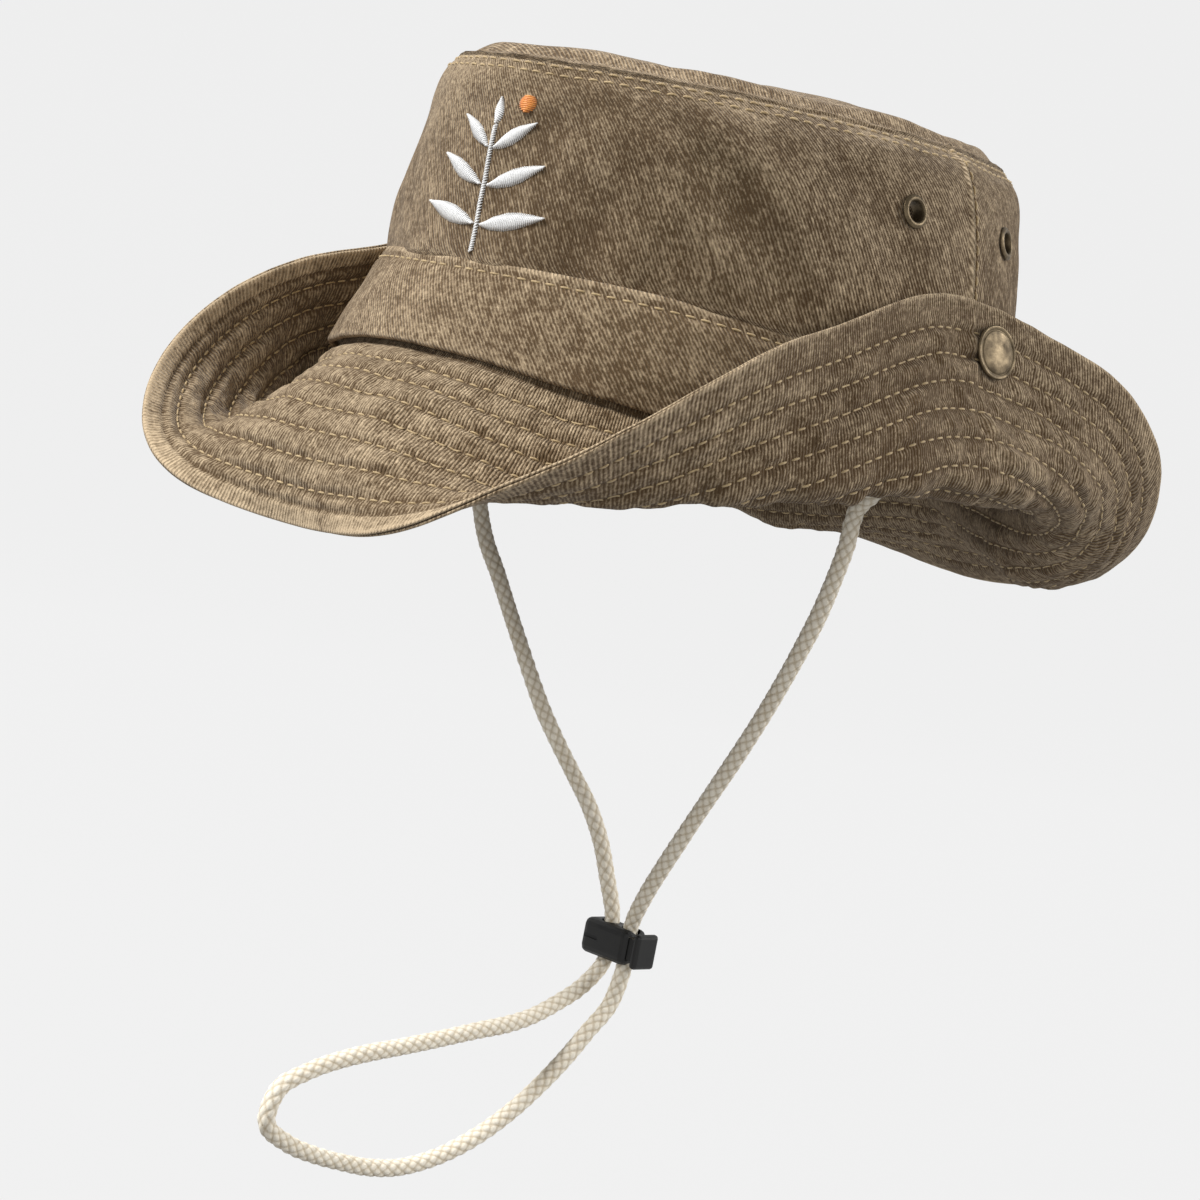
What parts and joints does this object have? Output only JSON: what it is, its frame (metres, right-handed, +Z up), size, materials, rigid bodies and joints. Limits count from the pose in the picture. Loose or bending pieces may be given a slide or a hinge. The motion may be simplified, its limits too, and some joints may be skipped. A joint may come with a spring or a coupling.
{
  "type": "boonie hat",
  "caption": "Soft cotton bucket-crown hat with a stitched wide brim snapped up at the sides, brass vents, and a chin cord with a sliding lock.",
  "frame": {"origin": "centre of the head opening, level with the line where the brim meets the crown at the front and back", "axes": "+Z up through the crown, -Y to the front of the hat, +X to the wearer's left"},
  "size_m": [0.2004, 0.2865, 0.2987],
  "materials": {
    "khaki_twill": "washed cotton twill",
    "interlining": "woven interlining",
    "inside_tape": "plain cotton tape",
    "antique_brass": "dull antique plating",
    "white_thread": "satin stitch thread",
    "orange_thread": "satin stitch thread",
    "label_cloth": "woven label",
    "cotton_cord": "braided cotton",
    "black_plastic": "moulded, matte",
    "spring_steel": "drawn wire"
  },
  "bodies": {
    "hat": {"crown_front": "khaki_twill", "crown_back": "khaki_twill", "crown_top": "khaki_twill", "band_front": "khaki_twill", "band_back": "khaki_twill", "brim_upper_front": "khaki_twill", "brim_upper_back": "khaki_twill", "brim_under_front": "khaki_twill", "brim_under_back": "khaki_twill", "brim_interlining_front": "interlining", "brim_interlining_back": "interlining", "sweatband": "inside_tape", "tip_seam_tape": "inside_tape", "side_seam_tape_left": "inside_tape", "side_seam_tape_right": "inside_tape", "cord_tab_left": "inside_tape", "cord_tab_right": "inside_tape", "eyelet_left_front": "antique_brass", "eyelet_washer_left_front": "antique_brass", "eyelet_left_rear": "antique_brass", "eyelet_washer_left_rear": "antique_brass", "snap_stud_left": "antique_brass", "snap_post_left": "antique_brass", "eyelet_right_front": "antique_brass", "eyelet_washer_right_front": "antique_brass", "eyelet_right_rear": "antique_brass", "eyelet_washer_right_rear": "antique_brass", "snap_stud_right": "antique_brass", "snap_post_right": "antique_brass", "embroidery_stem": "white_thread", "embroidery_leaf_tip": "white_thread", "embroidery_leaf_low_left": "white_thread", "embroidery_leaf_low_right": "white_thread", "embroidery_leaf_middle_left": "white_thread", "embroidery_leaf_middle_right": "white_thread", "embroidery_leaf_high_left": "white_thread", "embroidery_leaf_high_right": "white_thread", "embroidery_berry": "orange_thread", "care_label": "label_cloth", "chin_cord_left": "cotton_cord", "chin_cord_right": "cotton_cord", "chin_cord_loop": "cotton_cord"},
    "brim_flap_left": {"flap_upper_left": "khaki_twill", "flap_interlining_left": "interlining", "flap_under_left": "khaki_twill", "snap_cap_left": "antique_brass", "snap_socket_left": "antique_brass"},
    "brim_flap_right": {"flap_upper_right": "khaki_twill", "flap_interlining_right": "interlining", "flap_under_right": "khaki_twill", "snap_cap_right": "antique_brass", "snap_socket_right": "antique_brass"},
    "cord_lock": {"lock_housing": "black_plastic", "lock_spring": "spring_steel"},
    "lock_button": {"lock_plunger": "black_plastic"}
  },
  "joints": [
    {"name": "brim_left_fold", "type": "hinge", "parent": "hat", "child": "brim_flap_left", "pos_m": [0.0884, 0, -0.0165], "axis": [0, 1, 0], "range_deg": [0, 95]},
    {"name": "brim_right_fold", "type": "hinge", "parent": "hat", "child": "brim_flap_right", "pos_m": [-0.0884, 0, -0.0165], "axis": [0, -1, 0], "range_deg": [0, 95]},
    {"name": "cord_lock_slide", "type": "slide", "parent": "hat", "child": "cord_lock", "axis": [0, 0, 1], "range_m": [0, 0.09], "deforming": ["chin_cord_left", "chin_cord_right", "chin_cord_loop"]},
    {"name": "lock_button", "type": "slide", "parent": "cord_lock", "child": "lock_button", "axis": [-1, 0, 0], "range_m": [0, 0.001], "stiffness_N_per_m": 400, "springref_m": -0.002, "deforming": ["lock_spring"]}
  ]
}
